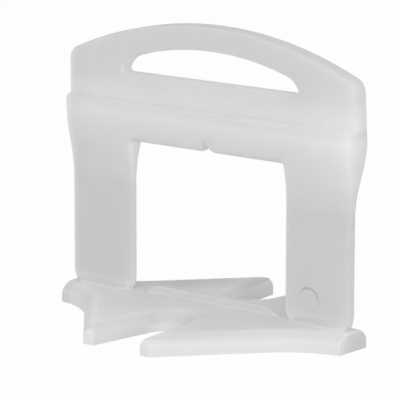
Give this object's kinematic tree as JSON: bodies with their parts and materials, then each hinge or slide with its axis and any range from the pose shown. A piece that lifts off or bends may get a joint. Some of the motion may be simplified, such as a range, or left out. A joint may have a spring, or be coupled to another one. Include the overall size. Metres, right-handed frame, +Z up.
{
  "type": "tile levelling clip",
  "caption": "One-piece moulded tile levelling clip: a thin break-off portal with a wedge opening and a slotted handle, on a flat base of two pointed feet.",
  "frame": {"origin": "centre of the base's underside", "axes": "+X along the portal, -Y towards the front, +Z up from the underside to the handle"},
  "size_m": [0.045, 0.0354, 0.0372],
  "materials": {
    "plastic": "natural polypropylene, milky white, satin as moulded"
  },
  "bodies": {
    "root": {"levelling_clip": "plastic"}
  },
  "joints": []
}
